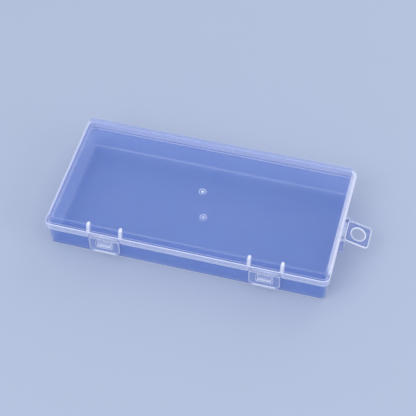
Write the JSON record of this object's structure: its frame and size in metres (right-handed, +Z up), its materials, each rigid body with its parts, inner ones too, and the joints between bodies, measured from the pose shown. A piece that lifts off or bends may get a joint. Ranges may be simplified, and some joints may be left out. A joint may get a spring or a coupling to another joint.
{
  "type": "clear hinged storage box",
  "caption": "Shallow clear plastic storage box with a hinged lid, snap latches at the front and a folding hang tab with a round hole at one end.",
  "frame": {"origin": "middle of the flat underside of the tray", "axes": "+X along the length to the hang tab, +Y to the hinged back, +Z up"},
  "size_m": [0.1915, 0.0897, 0.0268],
  "materials": {
    "clear_plastic": "clear, slightly milky polypropylene, smooth",
    "hinge_film": "clear polypropylene, thin and a little whitened by bending"
  },
  "bodies": {
    "base": {"base_tray": "clear_plastic", "rear_hinge_film": "hinge_film", "hang_tab_film": "hinge_film"},
    "lid": {"lid": "clear_plastic", "latch_film_left": "hinge_film", "latch_film_right": "hinge_film"},
    "latch_left": {"latch_left": "clear_plastic"},
    "latch_right": {"latch_right": "clear_plastic"},
    "hang_tab": {"hang_tab": "clear_plastic"}
  },
  "joints": [
    {"name": "lid_hinge", "type": "hinge", "parent": "base", "child": "lid", "pos_m": [0, 0.04469, 0.0192], "axis": [-1, 0, 0], "range_deg": [0, 180], "deforming": ["rear_hinge_film"]},
    {"name": "latch_left_hinge", "type": "hinge", "parent": "lid", "child": "latch_left", "pos_m": [-0.0494, -0.04392, 0.0197], "axis": [-1, 0, 0], "range_deg": [0, 120], "deforming": ["latch_film_left"]},
    {"name": "latch_right_hinge", "type": "hinge", "parent": "lid", "child": "latch_right", "pos_m": [0.0494, -0.04392, 0.0197], "axis": [-1, 0, 0], "range_deg": [0, 120], "deforming": ["latch_film_right"]},
    {"name": "hang_tab_hinge", "type": "hinge", "parent": "base", "child": "hang_tab", "pos_m": [0.08838, 0, 0.01765], "axis": [0, -1, 0], "range_deg": [-73.5, 106.5], "deforming": ["hang_tab_film"]}
  ]
}
